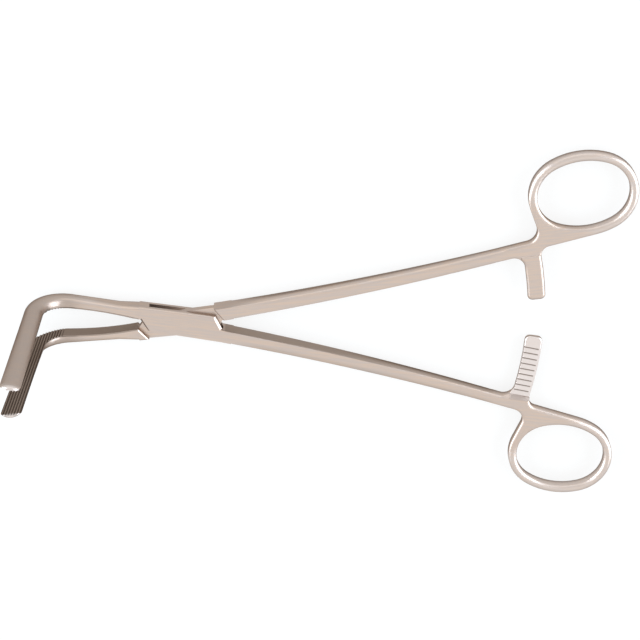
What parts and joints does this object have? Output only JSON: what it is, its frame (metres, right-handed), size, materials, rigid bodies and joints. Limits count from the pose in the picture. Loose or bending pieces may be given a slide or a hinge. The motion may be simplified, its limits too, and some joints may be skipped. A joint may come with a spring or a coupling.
{
  "type": "pedicle clamp",
  "caption": "Surgical pedicle clamp: box-lock halves with finger rings and ratchet arms, and long serrated jaws bent upwards at a right angle.",
  "frame": {"origin": "on the lock pin's axis, at the flat underside of the box lock", "axes": "+X from the pin towards the finger rings, +Y towards the male half's ring, +Z along the pin, the way the bent jaws point"},
  "size_m": [0.2183, 0.137, 0.0668],
  "materials": {
    "satin_steel": "satin"
  },
  "bodies": {
    "box": {"box_half": "satin_steel", "lock_pin": "satin_steel"},
    "male": {"male_half": "satin_steel"}
  },
  "joints": [
    {"name": "box_lock", "type": "hinge", "parent": "box", "child": "male", "pos_m": [0, 0, 0.00305], "axis": [0, 0, 1], "range_deg": [-9, 46]}
  ]
}
